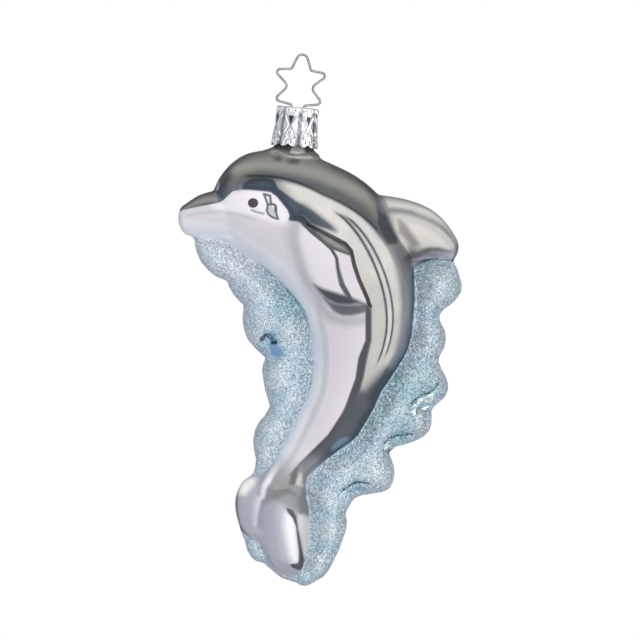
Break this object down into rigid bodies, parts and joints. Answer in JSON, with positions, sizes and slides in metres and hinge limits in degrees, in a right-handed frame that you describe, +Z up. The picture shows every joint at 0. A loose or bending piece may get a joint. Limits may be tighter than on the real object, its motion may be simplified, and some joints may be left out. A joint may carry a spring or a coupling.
{
  "type": "glass dolphin hanging ornament",
  "caption": "Mould-blown silvered glass ornament: a leaping dolphin on a bubbling glitter wave, with a crimped tin cap on its neck and a wire star loop to hang it by.",
  "frame": {"origin": "where the ornament hangs: the inside of the star loop's top point", "axes": "+Z up as it hangs, +X towards the dolphin's back and fin, -Y out of the dolphin's left flank"},
  "size_m": [0.0708, 0.0316, 0.133],
  "materials": {
    "silvered_glass": "silvered inside and lacquered outside: satin grey and pearl on the dolphin, pale blue under fine glitter on the wave",
    "tin_cap": "bright pressed and crimped tin",
    "steel_wire": "drawn wire, bright"
  },
  "bodies": {
    "root": {"glass_figure": "silvered_glass", "cap": "tin_cap", "wire_hanger": "steel_wire"}
  },
  "joints": []
}
